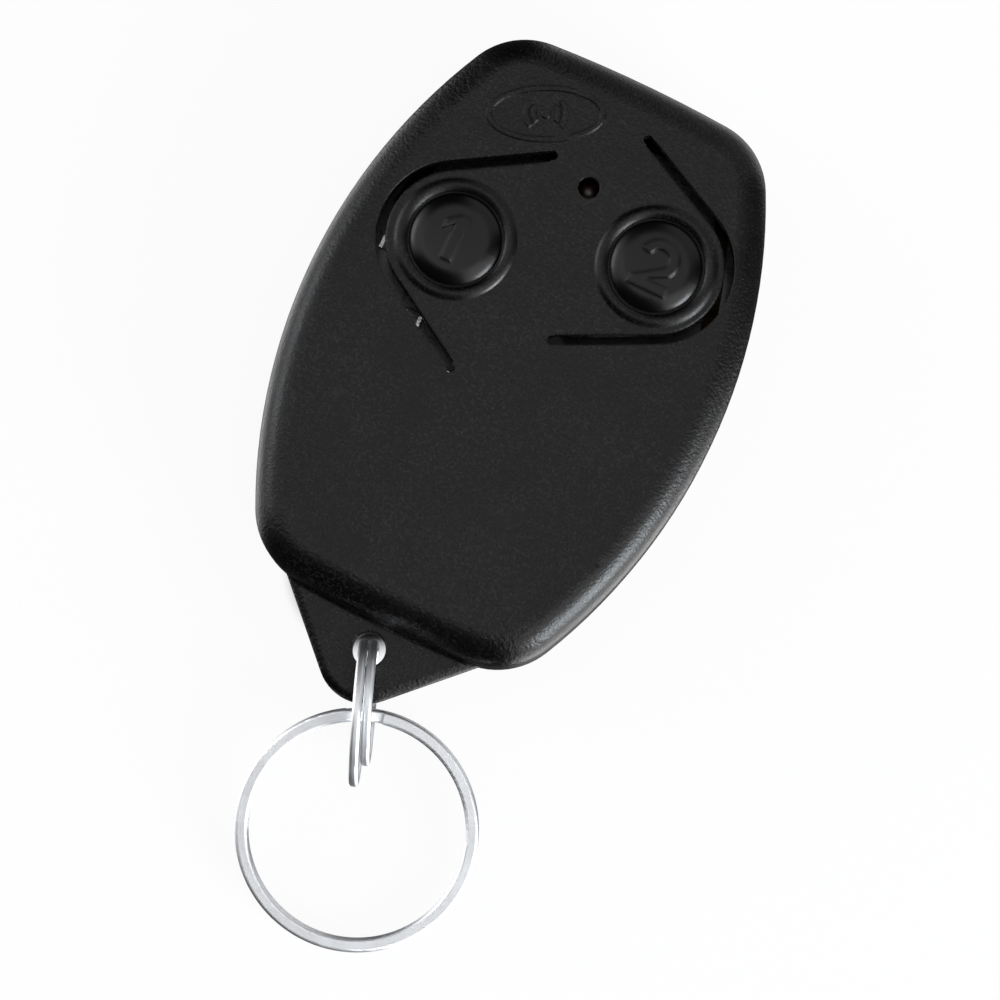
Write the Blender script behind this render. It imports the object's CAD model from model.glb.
"""The looks of a two-button gate remote control with its split rings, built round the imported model.

It is laid out as a Blender add-on and is run as a script. Every length is in metres, in the model's
own frame: X to the right, Y from the lug towards the top edge, Z out of the front.
"""
import math

import bpy
from mathutils import Matrix, Vector


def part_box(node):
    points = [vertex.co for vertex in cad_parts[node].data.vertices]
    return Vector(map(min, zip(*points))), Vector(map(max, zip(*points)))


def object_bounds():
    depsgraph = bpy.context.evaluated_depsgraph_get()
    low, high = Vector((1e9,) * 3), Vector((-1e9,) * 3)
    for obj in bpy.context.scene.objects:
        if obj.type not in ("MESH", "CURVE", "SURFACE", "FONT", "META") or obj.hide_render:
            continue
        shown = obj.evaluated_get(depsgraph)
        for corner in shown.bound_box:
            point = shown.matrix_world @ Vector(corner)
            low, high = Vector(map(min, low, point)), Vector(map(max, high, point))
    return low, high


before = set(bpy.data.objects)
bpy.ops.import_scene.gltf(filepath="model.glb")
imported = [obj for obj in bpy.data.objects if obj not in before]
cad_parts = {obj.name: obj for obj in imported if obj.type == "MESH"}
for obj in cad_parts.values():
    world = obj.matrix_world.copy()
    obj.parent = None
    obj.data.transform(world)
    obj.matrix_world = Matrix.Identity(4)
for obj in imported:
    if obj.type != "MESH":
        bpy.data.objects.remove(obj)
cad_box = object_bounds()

bl_info = {
    "name": "Gate remote control looks",
    "version": (1, 0, 0),
    "blender": (4, 5, 0),
    "location": "3D View > Sidebar > Gate remote",
    "description": "Finishes a two-button gate remote control and sets a studio stage for it",
    "category": "Object",
}

# Places that the model gives: the caps' centres, the tongues' root lines and the rings' own axes
button_places = ((-0.0095, 0.0072), (0.0092, 0.0132))
tongue_roots = (-0.0045, 0.0032)
ring_axes = {"link_ring": (0.9311, 0.3649, 0.0), "key_ring": (0.0414, -0.1058, 0.9935)}

# The photograph's view, and its directions along the table
view_target = Vector((0.00514, -0.0133, 0.0066))
view_roll = math.radians(25.65)
view_tilt = math.radians(5.5)
sensor_width = 36.0
view_clip = (0.01, 20.0)
picture_right = Vector((math.cos(view_roll), math.sin(view_roll), 0.0))
picture_up = Vector((-math.sin(view_roll), math.cos(view_roll), 0.0))
upright = Vector((0.0, 0.0, 1.0))

# Each lamp's place from the target (right, up and above), its width and depth, and its colour
lamp_rigs = {
    "main_lamp": ((0.4, -0.36, 0.16), (0.24, 0.32), (0.88, 0.95, 1.0)),
    "left_lamp": ((-0.45, 0.2, 0.18), (0.25, 0.25), (0.88, 0.94, 1.0)),
    "top_lamp": ((0.0, 0.17, 0.8), (0.45, 0.45), (1.0, 0.98, 0.96)),
}

# Where the room's lighter places fade in: cosines from their middles, and heights of a direction
overhead_fade = (0.92, 0.995)
side_fade = (0.8, 0.95)
horizon_fade = (-0.05, -0.35)
floor_fade = (-0.97, -0.7)
least_glow = 0.05

# The floor: how far it lies under the case, its mottle, and the shade's soft edge and colour
floor_drop = 0.0001
floor_corners = 96
mottle_scale = 60.0
mottle_share = 0.04
mottle_colour = (0.8, 0.8, 0.8, 1.0)
shade_softness = 0.0014
shade_colour = (0.01, 0.01, 0.01, 1.0)

# Shader values; a Mix node's two inputs and its output stand by their kind of data
white = (1.0, 1.0, 1.0, 1.0)
black = (0.0, 0.0, 0.0, 1.0)
level_only = (1.0, 1.0, 0.0)
least_light = 0.01
edge_samples = 4
root_width = 0.0006
mix_sockets = {"FLOAT": (2, 3, 0), "VECTOR": (4, 5, 1), "RGBA": (6, 7, 2)}


# Node helpers

def add_node(tree, kind, inputs=None, **settings):
    """Adds a node, sets its options, and fills or links its inputs."""
    node = tree.nodes.new(kind)
    for name, value in settings.items():
        setattr(node, name, value)
    for name, value in (inputs or {}).items():
        if isinstance(value, bpy.types.NodeSocket):
            tree.links.new(value, node.inputs[name])
        else:
            node.inputs[name].default_value = value
    return node


def reckon(tree, operation, first, second=0.0):
    """One Math node's result."""
    return add_node(tree, "ShaderNodeMath", {0: first, 1: second}, operation=operation).outputs[0]


def reckon_vector(tree, operation, first, second=(0.0, 0.0, 0.0)):
    """One Vector Math node's result: a number for a length or a dot product, or else a vector."""
    node = add_node(tree, "ShaderNodeVectorMath", {0: first, 1: second}, operation=operation)
    return node.outputs["Value" if operation in ("LENGTH", "DOT_PRODUCT") else "Vector"]


def spread(tree, value, low, high, to_low=0.0, to_high=1.0):
    """A value carried smoothly from one range to another."""
    inputs = {"Value": value, "From Min": low, "From Max": high, "To Min": to_low, "To Max": to_high}
    node = add_node(tree, "ShaderNodeMapRange", inputs, interpolation_type="SMOOTHSTEP")
    return node.outputs["Result"]


def blend(tree, share, first, second, kind="RGBA", mode="MIX"):
    """Two colours, numbers or vectors mixed by a share."""
    first_socket, second_socket, result = mix_sockets[kind]
    inputs = {0: share, first_socket: first, second_socket: second}
    return add_node(tree, "ShaderNodeMix", inputs, data_type=kind, blend_type=mode).outputs[result]


def tint(tree, mask, amount, first, second):
    """Two colours mixed by an amount of a mask."""
    return blend(tree, reckon(tree, "MULTIPLY", mask, amount), first, second)


def add_share(tree, value, mask, amount):
    """A value with an amount of a mask added, or taken away where the amount is negative."""
    return reckon(tree, "ADD", value, reckon(tree, "MULTIPLY", mask, amount))


def shade_of(colour, share=1.0):
    """A colour with its alpha, darkened to a share of itself."""
    return (*[value * share for value in colour], 1.0)


def lighter_than(colour, factor):
    """A colour with its alpha, lightened by a factor and a little more."""
    return (*[min(1.0, value * factor + least_light) for value in colour], 1.0)


def noise(tree, vector, scale, detail=2.0, roughness=0.5, distortion=0.0):
    """A noise texture's value."""
    inputs = {"Vector": vector, "Scale": scale, "Detail": detail, "Roughness": roughness,
              "Distortion": distortion}
    return add_node(tree, "ShaderNodeTexNoise", inputs).outputs["Fac"]


def new_group(name, inputs, outputs):
    """An empty node group with named sockets: the group, its input node and its output node."""
    group = bpy.data.node_groups.new(name, "ShaderNodeTree")
    for label, kind, default in inputs:
        socket = group.interface.new_socket(name=label, in_out="INPUT", socket_type=kind)
        if default is not None:
            socket.default_value = default
    for label, kind in outputs:
        group.interface.new_socket(name=label, in_out="OUTPUT", socket_type=kind)
    return group, group.nodes.new("NodeGroupInput"), group.nodes.new("NodeGroupOutput")


def make_moulded_grain():
    """Fine spark-eroded grain: a height, the bright tips and a patchy share."""
    group, given, put = new_group(
        "Moulded grain",
        (("Vector", "NodeSocketVector", None), ("Grains per metre", "NodeSocketFloat", 5000.0)),
        (("Height", "NodeSocketFloat"), ("Tips", "NodeSocketFloat"), ("Patches", "NodeSocketFloat")))
    coarse_scale, patch_scale = 0.42, 0.06
    fine_share, coarse_share, pit_share = 0.45, 0.4, -0.25
    tip_range, patch_range = (0.48, 0.66), (0.35, 0.65)
    vector = given.outputs["Vector"]
    scale = given.outputs["Grains per metre"]
    fine = noise(group, vector, scale, detail=2.0, roughness=0.6)
    coarse = noise(group, vector, reckon(group, "MULTIPLY", scale, coarse_scale), detail=2.0,
                   roughness=0.55, distortion=0.4)
    pits = add_node(group, "ShaderNodeTexVoronoi",
                    {"Vector": vector, "Scale": scale, "Smoothness": 0.6},
                    feature="SMOOTH_F1").outputs["Distance"]
    height = add_share(group, reckon(group, "MULTIPLY", fine, fine_share), coarse, coarse_share)
    height = add_share(group, height, pits, pit_share)
    group.links.new(height, put.inputs["Height"])
    group.links.new(spread(group, fine, *tip_range), put.inputs["Tips"])
    patches = noise(group, vector, reckon(group, "MULTIPLY", scale, patch_scale), detail=3.0,
                    roughness=0.6)
    group.links.new(spread(group, patches, *patch_range), put.inputs["Patches"])
    return group


def make_handling_wear():
    """What a pocket does to a surface: soft rubbed areas, hairline scratches and dust."""
    group, given, put = new_group(
        "Handling wear",
        (("Vector", "NodeSocketVector", None), ("Rubs per metre", "NodeSocketFloat", 70.0),
         ("Scratches per metre", "NodeSocketFloat", 260.0)),
        (("Rubbed", "NodeSocketFloat"), ("Scratches", "NodeSocketFloat"), ("Dust", "NodeSocketFloat")))
    scratch_turns, scratch_stretch, scratch_width = (0.5, 1.9), (1.0, 0.06, 1.0), 0.012
    rub_range, gate_range, gate_scale = (0.42, 0.68), (0.55, 0.7), 1.7
    dust_per_metre, dust_range = 9000.0, (0.74, 0.78)
    vector = given.outputs["Vector"]
    rubs = given.outputs["Rubs per metre"]
    rubbed = noise(group, vector, rubs, detail=4.0, roughness=0.55, distortion=0.3)
    group.links.new(spread(group, rubbed, *rub_range), put.inputs["Rubbed"])
    lines = []
    for turn in scratch_turns:
        turned = add_node(group, "ShaderNodeMapping", {"Vector": vector, "Rotation": (0.1, 0.2, turn),
                                                       "Scale": scratch_stretch}).outputs["Vector"]
        edge = add_node(group, "ShaderNodeTexVoronoi",
                        {"Vector": turned, "Scale": given.outputs["Scratches per metre"]},
                        feature="DISTANCE_TO_EDGE").outputs["Distance"]
        lines.append(spread(group, edge, scratch_width, 0.0))
    gate = noise(group, vector, reckon(group, "MULTIPLY", rubs, gate_scale), detail=2.0)
    scratches = reckon(group, "MULTIPLY", reckon(group, "MAXIMUM", *lines),
                       spread(group, gate, *gate_range))
    group.links.new(scratches, put.inputs["Scratches"])
    dust = noise(group, vector, dust_per_metre, detail=1.0)
    group.links.new(spread(group, dust, *dust_range), put.inputs["Dust"])
    return group


def make_round_place():
    """A soft-edged round mask about an upright line."""
    group, given, put = new_group(
        "Round place",
        (("Vector", "NodeSocketVector", None), ("Centre", "NodeSocketVector", None),
         ("Radius", "NodeSocketFloat", 0.005), ("Softness", "NodeSocketFloat", 0.0003)),
        (("Mask", "NodeSocketFloat"),))
    away = reckon_vector(group, "SUBTRACT", given.outputs["Vector"], given.outputs["Centre"])
    distance = reckon_vector(group, "LENGTH", reckon_vector(group, "MULTIPLY", away, level_only))
    inner = reckon(group, "SUBTRACT", given.outputs["Radius"], given.outputs["Softness"])
    outer = reckon(group, "ADD", given.outputs["Radius"], given.outputs["Softness"])
    group.links.new(spread(group, distance, outer, inner), put.inputs["Mask"])
    return group


def make_round_coordinates():
    """Coordinates along, across and up a wire that runs round the Z axis."""
    group, given, put = new_group(
        "Round coordinates",
        (("Vector", "NodeSocketVector", None), ("Radius", "NodeSocketFloat", 0.01)),
        (("Vector", "NodeSocketVector"),))
    parts = add_node(group, "ShaderNodeSeparateXYZ", {"Vector": given.outputs["Vector"]})
    angle = reckon(group, "ARCTAN2", parts.outputs["Y"], parts.outputs["X"])
    along = reckon(group, "MULTIPLY", angle, given.outputs["Radius"])
    level = add_node(group, "ShaderNodeCombineXYZ", {"X": parts.outputs["X"], "Y": parts.outputs["Y"]})
    out = reckon_vector(group, "LENGTH", level.outputs["Vector"])
    joined = add_node(group, "ShaderNodeCombineXYZ", {"X": along, "Y": out, "Z": parts.outputs["Z"]})
    group.links.new(joined.outputs["Vector"], put.inputs["Vector"])
    return group


def make_drawn_streaks():
    """Fine lines along X, as drawing or rolling leaves them, with stains and small dents."""
    group, given, put = new_group(
        "Drawn streaks",
        (("Vector", "NodeSocketVector", None), ("Lines per metre", "NodeSocketFloat", 9000.0),
         ("Length share", "NodeSocketFloat", 0.04)),
        (("Streaks", "NodeSocketFloat"), ("Stains", "NodeSocketFloat"), ("Dents", "NodeSocketFloat")))
    stains_per_metre, dents_per_metre = 420.0, 1700.0
    streak_range, stain_range, dent_range = (0.3, 0.7), (0.45, 0.7), (0.32, 0.05)
    vector = given.outputs["Vector"]
    stretch = add_node(group, "ShaderNodeCombineXYZ", {"X": given.outputs["Length share"],
                                                       "Y": 1.0, "Z": 1.0}).outputs["Vector"]
    stretched = reckon_vector(group, "MULTIPLY", vector, stretch)
    lines = noise(group, stretched, given.outputs["Lines per metre"], detail=3.0, roughness=0.6)
    group.links.new(spread(group, lines, *streak_range), put.inputs["Streaks"])
    stains = noise(group, vector, stains_per_metre, detail=4.0, roughness=0.6, distortion=0.5)
    group.links.new(spread(group, stains, *stain_range), put.inputs["Stains"])
    dents = add_node(group, "ShaderNodeTexVoronoi", {"Vector": vector, "Scale": dents_per_metre},
                     feature="F1").outputs["Distance"]
    group.links.new(spread(group, dents, *dent_range), put.inputs["Dents"])
    return group


group_makers = {
    "Moulded grain": make_moulded_grain,
    "Handling wear": make_handling_wear,
    "Round place": make_round_place,
    "Round coordinates": make_round_coordinates,
    "Drawn streaks": make_drawn_streaks,
}


def use_group(tree, name, inputs):
    """Places a shared node group, making it the first time."""
    group = bpy.data.node_groups.get(name) or group_makers[name]()
    return add_node(tree, "ShaderNodeGroup", inputs, node_tree=group).outputs


# Material helpers

def empty_material(name):
    """A material with an empty node tree, in place of any older one, and its object coordinates."""
    old = bpy.data.materials.get(name)
    if old:
        bpy.data.materials.remove(old)
    material = bpy.data.materials.new(name)
    material.use_nodes = True
    material.node_tree.nodes.clear()
    place = material.node_tree.nodes.new("ShaderNodeTexCoord").outputs["Object"]
    return material, material.node_tree, place


def start_material(name, **shader_values):
    """A material with one Principled shader and its object coordinates."""
    material, tree, place = empty_material(name)
    shader = add_node(tree, "ShaderNodeBsdfPrincipled", shader_values)
    out = tree.nodes.new("ShaderNodeOutputMaterial")
    tree.links.new(shader.outputs["BSDF"], out.inputs["Surface"])
    return material, tree, shader, place


def soft_edges(tree, place, edge_radius):
    """Normals of softened edges, but the faces' own along the tongues' roots, where pieces join."""
    soft = add_node(tree, "ShaderNodeBevel", {"Radius": edge_radius}, samples=edge_samples)
    plain = tree.nodes.new("ShaderNodeNewGeometry")
    across = add_node(tree, "ShaderNodeSeparateXYZ", {"Vector": place}).outputs["X"]
    near = []
    for root in tongue_roots:
        distance = reckon(tree, "ABSOLUTE", reckon(tree, "SUBTRACT", across, root))
        near.append(reckon(tree, "LESS_THAN", distance, root_width))
    return blend(tree, reckon(tree, "MAXIMUM", *near), soft.outputs["Normal"],
                 plain.outputs["Normal"], kind="VECTOR")


def add_bump(tree, shader, height, distance, normal=None):
    """Feeds the shader's normal from a height, on the face's own normal or on a given one."""
    inputs = {"Height": height, "Distance": distance, "Strength": 1.0}
    if normal:
        inputs["Normal"] = normal
    bump = add_node(tree, "ShaderNodeBump", inputs)
    tree.links.new(bump.outputs["Normal"], shader.inputs["Normal"])


def dress(node_names, material):
    """Gives CAD nodes one material."""
    for name in node_names:
        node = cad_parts[name]
        for slot in node.material_slots:
            slot.material = material


def turned_coordinates(tree, place, centre, axis):
    """Object coordinates about a centre, turned so that Z runs along an axis."""
    back = Vector(axis).to_track_quat("Z", "Y").to_matrix().to_4x4().inverted()
    offset = back @ (-Vector(centre))
    turn = back.to_euler("XYZ")
    return add_node(tree, "ShaderNodeMapping", {"Vector": place, "Rotation": turn, "Location": offset},
                    vector_type="POINT").outputs["Vector"]


# The moulded parts

def button_mask(tree, place, radius, softness):
    """One mask round both buttons' centres."""
    both = [use_group(tree, "Round place", {"Vector": place, "Centre": (x, y, 0.0), "Radius": radius,
                                            "Softness": softness})["Mask"] for x, y in button_places]
    return reckon(tree, "MAXIMUM", *both)


def make_moulded_plastic(name, looks, edge_softness):
    """Near-black moulded plastic with fine grain; the buttons' round caps are smooth and darker."""
    patch_matt, rub_gloss, tip_gloss = 0.05, -0.06, -0.08
    cap_rub_matt, cap_scratch_matt = 0.06, 0.12
    material, tree, shader, place = start_material(name, **{"Specular IOR Level": looks.sheen,
                                                            "Coat Roughness": looks.cap_roughness})
    grain = use_group(tree, "Moulded grain", {"Vector": place,
                                              "Grains per metre": 1.0 / looks.grain_size})
    wear = use_group(tree, "Handling wear", {"Vector": place})
    polished = button_mask(tree, place, looks.cap_radius, looks.cap_softness)
    beads = button_mask(tree, place, looks.bead_radius, looks.bead_softness)
    colour = tint(tree, grain["Tips"], looks.tip_share, shade_of(looks.colour),
                  shade_of(looks.tip_colour))
    colour = tint(tree, grain["Patches"], looks.patch_share, colour,
                  shade_of(looks.colour, looks.patch_darkness))
    colour = tint(tree, wear["Dust"], looks.dust_share, colour, shade_of(looks.dust_colour))
    colour = blend(tree, polished, colour, shade_of(looks.colour, looks.cap_darkness))
    tree.links.new(colour, shader.inputs["Base Color"])
    tree.links.new(reckon(tree, "MULTIPLY", polished, looks.cap_coat), shader.inputs["Coat Weight"])
    rough = add_share(tree, looks.roughness, grain["Patches"], patch_matt)
    rough = add_share(tree, rough, wear["Rubbed"], rub_gloss)
    rough = add_share(tree, rough, grain["Tips"], tip_gloss)
    smooth = add_share(tree, looks.cap_roughness, wear["Rubbed"], cap_rub_matt)
    smooth = add_share(tree, smooth, wear["Scratches"], cap_scratch_matt)
    tree.links.new(blend(tree, polished, rough, smooth, kind="FLOAT"), shader.inputs["Roughness"])
    calm = add_share(tree, 1.0, beads, -looks.bead_calm)
    calm = reckon(tree, "MULTIPLY", calm, reckon(tree, "SUBTRACT", 1.0, polished))
    height = reckon(tree, "MULTIPLY", grain["Height"], calm)
    add_bump(tree, shader, height, looks.grain_depth, soft_edges(tree, place, edge_softness))
    return material


# Metals and small parts

def make_ring_metal(name, centre, axis, radius, looks):
    """Bright plated wire with faint drawing lines along its turns."""
    streak_tint, stain_tint, dull_share = 0.15, 0.25, 0.72
    streak_matt, rub_matt, dent_height = 0.04, 0.08, -0.5
    material, tree, shader, place = start_material(name, Metallic=1.0)
    own = turned_coordinates(tree, place, centre, axis)
    along = use_group(tree, "Round coordinates", {"Vector": own, "Radius": radius})["Vector"]
    marks = use_group(tree, "Drawn streaks", {"Vector": along, "Lines per metre": 11000.0,
                                              "Length share": 0.03})
    wear = use_group(tree, "Handling wear", {"Vector": along, "Rubs per metre": 240.0,
                                             "Scratches per metre": 900.0})
    dull = shade_of(looks.colour, dull_share)
    colour = tint(tree, marks["Streaks"], streak_tint, shade_of(looks.colour), dull)
    colour = tint(tree, marks["Stains"], stain_tint, colour, dull)
    tree.links.new(colour, shader.inputs["Base Color"])
    rough = add_share(tree, looks.roughness, marks["Streaks"], streak_matt)
    rough = add_share(tree, rough, wear["Rubbed"], rub_matt)
    tree.links.new(rough, shader.inputs["Roughness"])
    height = add_share(tree, marks["Streaks"], marks["Dents"], dent_height)
    height = reckon(tree, "SUBTRACT", height, wear["Scratches"])
    add_bump(tree, shader, height, looks.line_depth)
    return material


def make_plain_metal(name, colour, roughness, lines=9000.0, share=0.05, depth=0.000004):
    """Stamped, plated or tinned metal with rolling lines, stains and small dents."""
    streak_tint, stain_tint, dull_share = 0.3, 0.35, 0.6
    stain_matt, scratch_matt, dent_height = 0.15, 0.1, -0.5
    material, tree, shader, place = start_material(name, Metallic=1.0)
    marks = use_group(tree, "Drawn streaks", {"Vector": place, "Lines per metre": lines,
                                              "Length share": share})
    wear = use_group(tree, "Handling wear", {"Vector": place, "Rubs per metre": 300.0,
                                             "Scratches per metre": 1200.0})
    dull = shade_of(colour, dull_share)
    shade = tint(tree, marks["Streaks"], streak_tint, shade_of(colour), dull)
    shade = tint(tree, marks["Stains"], stain_tint, shade, dull)
    tree.links.new(shade, shader.inputs["Base Color"])
    rough = add_share(tree, roughness, marks["Stains"], stain_matt)
    rough = add_share(tree, rough, wear["Scratches"], scratch_matt)
    tree.links.new(rough, shader.inputs["Roughness"])
    height = add_share(tree, marks["Streaks"], marks["Dents"], dent_height)
    add_bump(tree, shader, height, depth)
    return material


def make_moulding_resin(name, colour, roughness, grain_size=0.00012, depth=0.00001, **shader_values):
    """Small moulded or dipped pieces: a fine grain, flow patches and rubbed spots."""
    patch_tint, tip_tint, dark_share, light_factor = 0.5, 0.4, 0.6, 1.25
    rub_gloss, tip_matt, scratch_height = -0.1, 0.05, -0.3
    material, tree, shader, place = start_material(name, **shader_values)
    grain = use_group(tree, "Moulded grain", {"Vector": place, "Grains per metre": 1.0 / grain_size})
    wear = use_group(tree, "Handling wear", {"Vector": place, "Rubs per metre": 350.0,
                                             "Scratches per metre": 1500.0})
    shade = tint(tree, grain["Patches"], patch_tint, shade_of(colour), shade_of(colour, dark_share))
    shade = tint(tree, grain["Tips"], tip_tint, shade, lighter_than(colour, light_factor))
    tree.links.new(shade, shader.inputs["Base Color"])
    rough = add_share(tree, roughness, wear["Rubbed"], rub_gloss)
    rough = add_share(tree, rough, grain["Tips"], tip_matt)
    tree.links.new(rough, shader.inputs["Roughness"])
    height = add_share(tree, grain["Height"], wear["Scratches"], scratch_height)
    add_bump(tree, shader, height, depth)
    return material


def make_board_laminate(name, looks):
    """Solder mask over tracks: lighter where copper runs beneath, with the glass weave showing."""
    board_patches, track_range = 190.0, (0.47, 0.5)
    track_factor, weave_shade, weave_share = 1.9, 0.8, 0.6
    patch_tint, dark_share, roughness, patch_matt = 0.2, 0.6, 0.3, 0.15
    track_height, grain_height, depth = 0.7, 0.3, 0.00004
    material, tree, shader, place = start_material(name, **{"Coat Weight": 0.4, "Coat Roughness": 0.12})
    lines = add_node(tree, "ShaderNodeTexBrick",
                     {"Vector": place, "Color1": white, "Color2": white, "Mortar": black,
                      "Scale": 1.0, "Mortar Size": 0.00022, "Mortar Smooth": 0.2,
                      "Brick Width": 0.0046, "Row Height": 0.0019},
                     offset=0.37, squash=0.6, squash_frequency=3).outputs["Fac"]
    tracks = reckon(tree, "MULTIPLY", lines,
                    spread(tree, noise(tree, place, board_patches, detail=1.0), *track_range))
    weave = add_node(tree, "ShaderNodeTexChecker",
                     {"Vector": place, "Color1": white, "Color2": shade_of(white[:3], weave_shade),
                      "Scale": 1600.0}).outputs["Color"]
    grain = use_group(tree, "Moulded grain", {"Vector": place, "Grains per metre": 6000.0})
    colour = blend(tree, tracks, shade_of(looks.mask_colour),
                   lighter_than(looks.mask_colour, track_factor))
    colour = blend(tree, weave_share, colour, weave, mode="MULTIPLY")
    colour = tint(tree, grain["Patches"], patch_tint, colour, shade_of(looks.mask_colour, dark_share))
    tree.links.new(colour, shader.inputs["Base Color"])
    rough = add_share(tree, roughness, grain["Patches"], patch_matt)
    tree.links.new(rough, shader.inputs["Roughness"])
    height = add_share(tree, reckon(tree, "MULTIPLY", tracks, track_height), grain["Height"],
                       grain_height)
    add_bump(tree, shader, height, depth)
    return material


# What a user may change

def colour_setting(name, note, default):
    """A colour property."""
    return bpy.props.FloatVectorProperty(name=name, description=note, default=default, size=3,
                                         subtype="COLOR", min=0.0, max=1.0)


def length_setting(name, note, default):
    """A length property in metres."""
    return bpy.props.FloatProperty(name=name, description=note, default=default, min=0.0,
                                   precision=6, unit="LENGTH", subtype="DISTANCE")


def share_setting(name, note, default):
    """A property between nothing and all."""
    return bpy.props.FloatProperty(name=name, description=note, default=default, min=0.0, max=1.0,
                                   subtype="FACTOR")


def power_setting(name, note, default):
    """A lamp's power."""
    return bpy.props.FloatProperty(name=name, description=note, default=default, min=0.0,
                                   unit="POWER")


class RemoteCaseLooks(bpy.types.PropertyGroup):
    """The moulded plastic of the covers and the buttons."""
    colour: colour_setting("Colour", "The plastic's own colour", (0.0005, 0.0004, 0.0004))
    tip_colour: colour_setting("Tip colour", "The colour of the grain's tips", (0.0115, 0.0098, 0.0094))
    roughness: share_setting("Roughness", "How matt the grained faces are", 0.3)
    sheen: share_setting("Gloss level", "How strongly the plastic reflects", 0.22)
    grain_size: length_setting("Grain size", "Distance between two grains", 0.0003)
    grain_depth: length_setting("Grain depth", "Depth of the grain", 0.00007)
    edge_softness: length_setting("Edge softness", "Radius that sharp edges are seen with", 0.0002)
    button_softness: length_setting("Button softness", "The same on the buttons and their figures",
                                    0.0004)
    cap_radius: length_setting("Cap radius", "Radius of the smooth cap on each button", 0.0047)
    cap_softness: length_setting("Cap softness", "Width over which the grain fades", 0.0001)
    cap_roughness: share_setting("Cap roughness", "How matt the caps are", 0.24)
    cap_coat: share_setting("Cap gloss", "How strongly the caps shine", 0.08)
    bead_radius: length_setting("Bead radius", "Radius out to which the grain is finer", 0.0064)
    bead_softness: length_setting("Bead softness", "Width over which the grain comes back", 0.0006)
    bead_calm: share_setting("Bead calm", "How much of the grain is missing on the beads", 0.85)
    tip_share: share_setting("Tip share", "How strongly the grain's tips show", 0.6)
    patch_share: share_setting("Patch share", "How strongly the flow patches show", 0.6)
    patch_darkness: share_setting("Patch darkness", "The patches' share of the plain colour", 0.45)
    cap_darkness: share_setting("Cap darkness", "The caps' share of the plain colour", 0.4)
    dust_share: share_setting("Dust share", "How strongly the dust shows", 0.12)
    dust_colour: colour_setting("Dust colour", "The dust on the grain", (0.35, 0.34, 0.33))


class RemoteRingLooks(bpy.types.PropertyGroup):
    """The plated wire of the two split rings."""
    colour: colour_setting("Colour", "The plating's colour", (0.68, 0.69, 0.71))
    roughness: share_setting("Roughness", "How matt the plating is", 0.4)
    line_depth: length_setting("Line depth", "Depth of the drawing lines", 0.0000015)


class RemoteInsideLooks(bpy.types.PropertyGroup):
    """The circuit board and what it carries."""
    mask_colour: colour_setting("Mask colour", "The solder mask's colour", (0.004, 0.005, 0.0045))
    copper_colour: colour_setting("Copper colour", "The masked tracks' colour", (0.012, 0.008, 0.005))
    lamp_colour: colour_setting("Lamp colour", "The indicator lamp's resin", (0.012, 0.001, 0.001))
    sleeve_colour: colour_setting("Sleeve colour", "The battery's sleeve", (0.03, 0.045, 0.11))
    coil_colour: colour_setting("Coil colour", "The tuning coil's coating", (0.06, 0.24, 0.11))


class RemoteStageSettings(bpy.types.PropertyGroup):
    """The floor, the lamps and the camera."""
    floor_radius: length_setting("Floor radius", "Radius of the round floor", 1.6)
    floor_colour: colour_setting("Floor colour", "The floor's paint", (0.62, 0.62, 0.62))
    floor_glow: bpy.props.FloatProperty(
        name="Floor glow", description="How much lighter the lighter sides are below the horizon",
        default=1.5, min=0.0)
    floor_white: share_setting("Floor white", "How much of the floor is plain white", 0.93)
    hole_shade_centre: bpy.props.FloatVectorProperty(
        name="Hole shade", description="Middle of the shade on the floor where lug and case meet",
        default=(-0.0036, -0.0246, 0.0), size=3, subtype="TRANSLATION", unit="LENGTH", precision=5)
    hole_shade_radius: length_setting("Shade radius", "Radius of that shade", 0.0078)
    main_power: power_setting("Main lamp", "The soft lamp at the lower right", 4.6)
    left_power: power_setting("Left lamp", "The soft lamp on the left", 0.7)
    top_power: power_setting("Top lamp", "The soft lamp overhead", 0.3)
    overhead: power_setting("Overhead", "Brightness of the room overhead", 0.5)
    overhead_lean: bpy.props.FloatProperty(
        name="Overhead lean", description="How far the room's light overhead leans up the picture",
        default=math.radians(14.0), unit="ROTATION")
    room_dark: share_setting("Room's dark sides", "Brightness of the room's darker sides", 0.05)
    side_bearings: bpy.props.FloatVectorProperty(
        name="Bearings", description="Where the room's lighter sides are, from the picture's right",
        default=(math.radians(47.0), math.radians(158.0), math.radians(-45.0)), size=3, unit="ROTATION")
    side_levels: bpy.props.FloatVectorProperty(
        name="Side levels", description="Brightness of the lighter sides", default=(0.8, 1.7, 3.0),
        size=3, min=0.0)
    distance: length_setting("Camera distance", "From the camera to the object", 0.392)
    lens: bpy.props.FloatProperty(name="Lens", description="The camera's focal length",
                                  default=144.0, min=1.0, unit="CAMERA")


# Operators

class FinishCase(bpy.types.Operator):
    """Gives both covers their grained plastic"""
    bl_idname = "gate_remote.finish_case"
    bl_label = "Finish case"

    def execute(self, context):
        looks = context.scene.remote_case
        material = make_moulded_plastic("case_plastic_grain", looks, looks.edge_softness)
        dress(("front_cover", "rear_cover"), material)
        return {"FINISHED"}


class FinishButtons(bpy.types.Operator):
    """Gives both buttons grained plastic with smooth caps"""
    bl_idname = "gate_remote.finish_buttons"
    bl_label = "Finish buttons"

    def execute(self, context):
        looks = context.scene.remote_case
        material = make_moulded_plastic("button_plastic_grain", looks, looks.button_softness)
        dress(("button_1", "button_2"), material)
        return {"FINISHED"}


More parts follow.
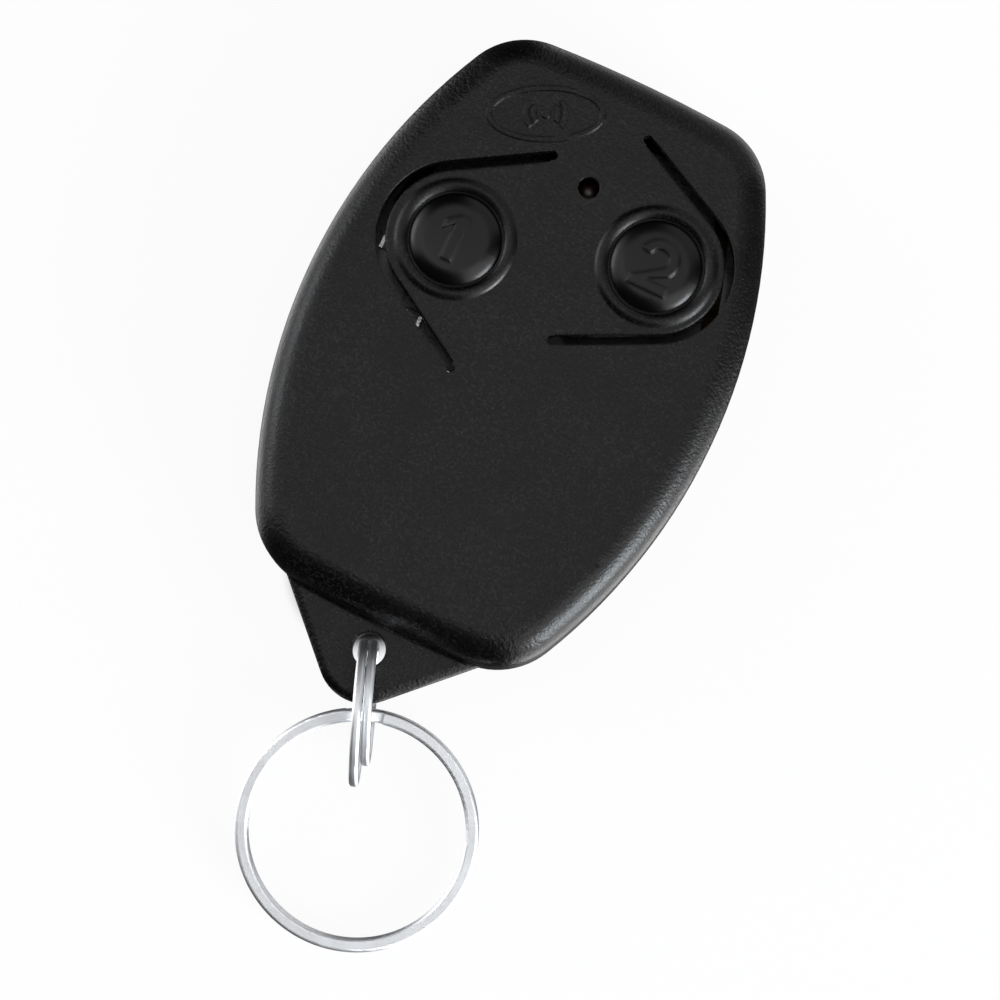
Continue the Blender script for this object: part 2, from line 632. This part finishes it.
class FinishRings(bpy.types.Operator):
    """Gives the two split rings their plated wire"""
    bl_idname = "gate_remote.finish_rings"
    bl_label = "Finish rings"

    def execute(self, context):
        looks = context.scene.remote_rings
        for name, axis in ring_axes.items():
            low, high = (Vector(corner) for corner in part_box(name))
            centre = (low + high) / 2
            radius = max(high - low) / 2
            material = make_ring_metal(name + "_plating", centre, axis, radius, looks)
            dress((name,), material)
        return {"FINISHED"}


class FinishFixings(bpy.types.Operator):
    """Gives the case screw and the battery contacts their metal"""
    bl_idname = "gate_remote.finish_fixings"
    bl_label = "Finish fixings"

    def execute(self, context):
        zinc = make_plain_metal("screw_zinc", (0.5, 0.49, 0.46), roughness=0.34, lines=7000.0,
                                share=0.3, depth=0.000008)
        nickel = make_plain_metal("contact_nickel_plating", (0.66, 0.63, 0.57), roughness=0.26,
                                  share=0.04)
        dress(("case_screw",), zinc)
        dress(("battery_contact_positive", "battery_contact_negative", "battery_spring"), nickel)
        return {"FINISHED"}


class FinishBoard(bpy.types.Operator):
    """Gives the board, its aerial and its solder their finish"""
    bl_idname = "gate_remote.finish_board"
    bl_label = "Finish board"

    def execute(self, context):
        looks = context.scene.remote_inside
        copper = make_plain_metal("aerial_copper", looks.copper_colour, roughness=0.3, lines=8000.0,
                                  share=0.2)
        tin = make_plain_metal("solder_tin", (0.66, 0.66, 0.64), roughness=0.22, lines=2500.0,
                               share=0.8, depth=0.00001)
        dress(("circuit_board",), make_board_laminate("board_solder_mask", looks))
        dress(("aerial_trace",), copper)
        dress(("solder",), tin)
        return {"FINISHED"}


class FinishSwitches(bpy.types.Operator):
    """Gives the two press switches their plastics and sheet metal"""
    bl_idname = "gate_remote.finish_switches"
    bl_label = "Finish switches"

    def execute(self, context):
        bases = make_moulding_resin("switch_base_resin", (0.018, 0.018, 0.019), roughness=0.5)
        plungers = make_moulding_resin("switch_plunger_resin", (0.03, 0.029, 0.028), roughness=0.42)
        sheet = make_plain_metal("switch_sheet_steel", (0.6, 0.6, 0.59), roughness=0.3, share=0.04)
        tinned = make_plain_metal("switch_tinned_legs", (0.64, 0.64, 0.62), roughness=0.28,
                                  lines=6000.0, share=0.3)
        for number in ("1", "2"):
            dress(("switch_%s_base" % number,), bases)
            dress(("switch_%s_plunger" % number,), plungers)
            dress(("switch_%s_frame" % number, "switch_%s_dome" % number), sheet)
            dress(("switch_%s_terminals" % number,), tinned)
        return {"FINISHED"}


class FinishLamp(bpy.types.Operator):
    """Gives the indicator lamp its resin and its legs their tin"""
    bl_idname = "gate_remote.finish_lamp"
    bl_label = "Finish lamp"

    def execute(self, context):
        looks = context.scene.remote_inside
        resin = make_moulding_resin("lamp_resin", looks.lamp_colour, roughness=0.4,
                                    grain_size=0.0006, depth=0.000004, IOR=1.52)
        tinned = make_plain_metal("lamp_tinned_legs", (0.64, 0.64, 0.62), roughness=0.28,
                                  lines=6000.0, share=0.3)
        dress(("led_lens",), resin)
        dress(("led_leads",), tinned)
        return {"FINISHED"}


class FinishComponents(bpy.types.Operator):
    """Gives the chip, resonator, transistor, coil and chip parts their finish"""
    bl_idname = "gate_remote.finish_components"
    bl_label = "Finish components"

    def execute(self, context):
        looks = context.scene.remote_inside
        resin = make_moulding_resin("chip_resin", (0.005, 0.005, 0.0055), roughness=0.6,
                                    grain_size=0.00009, depth=0.000008)
        tin = make_plain_metal("component_tin", (0.66, 0.66, 0.64), roughness=0.25, lines=7000.0,
                               share=0.2)
        plating = make_plain_metal("resonator_plating", (0.62, 0.6, 0.56), roughness=0.24,
                                   lines=8000.0)
        coating = make_moulding_resin("coil_coating", looks.coil_colour, roughness=0.3,
                                      grain_size=0.0004, depth=0.00002)
        glaze = make_moulding_resin("resistor_glaze", (0.02, 0.02, 0.022), roughness=0.25,
                                    grain_size=0.00015)
        ceramic = make_moulding_resin("capacitor_ceramic", (0.45, 0.31, 0.19), roughness=0.5,
                                      grain_size=0.0001)
        dress(("encoder_chip", "transistor"), resin)
        dress(("encoder_leads", "resonator_leads", "transistor_leads", "inductor_leads",
               "chip_end_caps"), tin)
        dress(("resonator_can",), plating)
        dress(("inductor",), coating)
        dress(("chip_resistors",), glaze)
        dress(("chip_capacitors",), ceramic)
        return {"FINISHED"}


class FinishBattery(bpy.types.Operator):
    """Gives the battery its plated can, plain sleeve and washer"""
    bl_idname = "gate_remote.finish_battery"
    bl_label = "Finish battery"

    def execute(self, context):
        looks = context.scene.remote_inside
        plating = make_plain_metal("battery_plating", (0.66, 0.65, 0.62), roughness=0.22)
        sleeve = make_moulding_resin("battery_shrink_sleeve", looks.sleeve_colour, roughness=0.28,
                                     grain_size=0.0008)
        washer = make_moulding_resin("battery_washer_board", (0.03, 0.029, 0.028), roughness=0.7)
        dress(("battery_can", "battery_positive_nub"), plating)
        dress(("battery_sleeve",), sleeve)
        dress(("battery_washer",), washer)
        return {"FINISHED"}


def make_floor_paint(settings):
    """Pale floor: nearly white to the camera, with paint that still takes a shadow."""
    material, tree, place = empty_material("floor_paint")
    mottle = noise(tree, place, mottle_scale, detail=3.0)
    colour = tint(tree, mottle, mottle_share, shade_of(settings.floor_colour), mottle_colour)
    shaded = use_group(tree, "Round place", {"Vector": place, "Centre": settings.hole_shade_centre,
                                             "Radius": settings.hole_shade_radius,
                                             "Softness": shade_softness})["Mask"]
    colour = blend(tree, shaded, colour, shade_colour)
    paint = add_node(tree, "ShaderNodeBsdfDiffuse", {"Color": colour})
    glow = add_node(tree, "ShaderNodeEmission", {"Color": white, "Strength": 1.0})
    path = tree.nodes.new("ShaderNodeLightPath")
    open_floor = reckon(tree, "SUBTRACT", settings.floor_white, shaded)
    share = reckon(tree, "MULTIPLY", path.outputs["Is Camera Ray"], open_floor)
    mix = add_node(tree, "ShaderNodeMixShader", {0: share, 1: paint.outputs[0], 2: glow.outputs[0]})
    out = tree.nodes.new("ShaderNodeOutputMaterial")
    tree.links.new(mix.outputs[0], out.inputs["Surface"])
    return material


def make_floor(settings):
    """A round floor just under the case; reflections miss it and show the room instead."""
    bpy.ops.object.select_all(action="DESELECT")
    bpy.ops.mesh.primitive_circle_add(vertices=floor_corners, radius=settings.floor_radius,
                                      fill_type="NGON",
                                      location=(0.0, 0.0, cad_box[0].z - floor_drop))
    floor = bpy.context.object
    floor.name = "floor"
    floor.data.materials.append(make_floor_paint(settings))
    bpy.ops.object.transform_apply(location=True, rotation=True, scale=True)
    floor.visible_glossy = False


def make_lamp(name, power):
    """A soft rectangular lamp that faces the object, placed by the picture's directions."""
    (right, up, above), (width, depth), colour = lamp_rigs[name]
    data = bpy.data.lights.new(name, "AREA")
    data.shape = "RECTANGLE"
    data.size = width
    data.size_y = depth
    data.energy = power
    data.color = colour
    lamp = bpy.data.objects.new(name, data)
    bpy.context.scene.collection.objects.link(lamp)
    lamp.location = view_target + right * picture_right + up * picture_up + above * upright
    lamp.rotation_mode = "QUATERNION"
    lamp.rotation_quaternion = (view_target - lamp.location).to_track_quat("-Z", "Y")
    lamp.visible_camera = False


def light_side(tree, level, bearing, strength):
    """One lighter side of the room, at its bearing from the picture's right."""
    towards = picture_right * math.cos(bearing) + picture_up * math.sin(bearing)
    facing = reckon_vector(tree, "DOT_PRODUCT", level, towards)
    return spread(tree, facing, *side_fade, 0.0, strength)


def make_room(settings):
    """White to the camera, and a room that is lighter overhead and on three sides."""
    world = bpy.data.worlds.new("studio_room")
    bpy.context.scene.world = world
    world.use_nodes = True
    tree = world.node_tree
    tree.nodes.clear()
    direction = tree.nodes.new("ShaderNodeTexCoord").outputs["Generated"]
    lean = settings.overhead_lean
    rise = reckon_vector(tree, "DOT_PRODUCT", direction,
                         picture_up * math.sin(lean) + upright * math.cos(lean))
    strength = spread(tree, rise, *overhead_fade, settings.room_dark, settings.overhead)
    height = add_node(tree, "ShaderNodeSeparateXYZ", {"Vector": direction}).outputs["Z"]
    glow = reckon(tree, "MULTIPLY", spread(tree, height, *horizon_fade, 1.0, settings.floor_glow),
                  spread(tree, height, *floor_fade, least_glow, 1.0))
    level = reckon_vector(tree, "NORMALIZE", reckon_vector(tree, "MULTIPLY", direction, level_only))
    for bearing, share in zip(settings.side_bearings, settings.side_levels):
        side = reckon(tree, "MULTIPLY", light_side(tree, level, bearing, share), glow)
        strength = reckon(tree, "MAXIMUM", strength, side)
    room = add_node(tree, "ShaderNodeBackground", {"Color": white, "Strength": strength})
    plain = add_node(tree, "ShaderNodeBackground", {"Color": white, "Strength": 1.0})
    path = tree.nodes.new("ShaderNodeLightPath")
    mix = add_node(tree, "ShaderNodeMixShader", {0: path.outputs["Is Camera Ray"],
                                                 1: room.outputs[0], 2: plain.outputs[0]})
    out = tree.nodes.new("ShaderNodeOutputWorld")
    tree.links.new(mix.outputs[0], out.inputs["Surface"])


def make_camera(settings):
    """The camera at the photograph's viewing angle."""
    data = bpy.data.cameras.new("photo_camera")
    data.lens = settings.lens
    data.sensor_width = sensor_width
    camera = bpy.data.objects.new("photo_camera", data)
    bpy.context.scene.collection.objects.link(camera)
    turn = Matrix.Rotation(view_roll, 3, "Z") @ Matrix.Rotation(view_tilt, 3, "X")
    camera.location = view_target + turn @ Vector((0.0, 0.0, settings.distance))
    camera.rotation_euler = turn.to_euler()
    data.clip_start, data.clip_end = view_clip
    bpy.context.scene.camera = camera


class SetStage(bpy.types.Operator):
    """Sets the pale floor, the soft lamps, the room and the camera"""
    bl_idname = "gate_remote.set_stage"
    bl_label = "Set stage"

    def execute(self, context):
        settings = context.scene.remote_stage
        make_floor(settings)
        make_lamp("main_lamp", settings.main_power)
        make_lamp("left_lamp", settings.left_power)
        make_lamp("top_lamp", settings.top_power)
        make_room(settings)
        make_camera(settings)
        context.scene.view_settings.view_transform = "Standard"
        return {"FINISHED"}


class RemotePanel(bpy.types.Panel):
    """Lists the gate remote's steps and settings."""
    bl_idname = "VIEW3D_PT_gate_remote"
    bl_label = "Gate remote"
    bl_space_type = "VIEW_3D"
    bl_region_type = "UI"
    bl_category = "Gate remote"

    def draw(self, context):
        layout = self.layout
        for label, owner in setting_groups.items():
            box = layout.box()
            box.label(text=label)
            group = getattr(context.scene, owner[0])
            for name in owner[1].__annotations__:
                box.prop(group, name)
        for step in steps:
            layout.operator(step.bl_idname)


steps = (FinishCase, FinishButtons, FinishRings, FinishFixings, FinishBoard, FinishSwitches, FinishLamp,
         FinishComponents, FinishBattery, SetStage)
setting_groups = {
    "Case": ("remote_case", RemoteCaseLooks),
    "Rings": ("remote_rings", RemoteRingLooks),
    "Inside": ("remote_inside", RemoteInsideLooks),
    "Stage": ("remote_stage", RemoteStageSettings),
}


def register():
    """Makes the settings, the operators and the panel known to Blender."""
    for owner, kind in setting_groups.values():
        bpy.utils.register_class(kind)
        setattr(bpy.types.Scene, owner, bpy.props.PointerProperty(type=kind))
    for kind in (*steps, RemotePanel):
        bpy.utils.register_class(kind)


def unregister():
    """Takes them away again."""
    for kind in reversed((*steps, RemotePanel)):
        bpy.utils.unregister_class(kind)
    for owner, kind in setting_groups.values():
        delattr(bpy.types.Scene, owner)
        bpy.utils.unregister_class(kind)


def main():
    """Registers everything, runs each step in order and notes the sizes."""
    register()
    for step in steps:
        family, name = step.bl_idname.split(".")
        getattr(getattr(bpy.ops, family), name)()


if __name__ == "__main__":
    main()
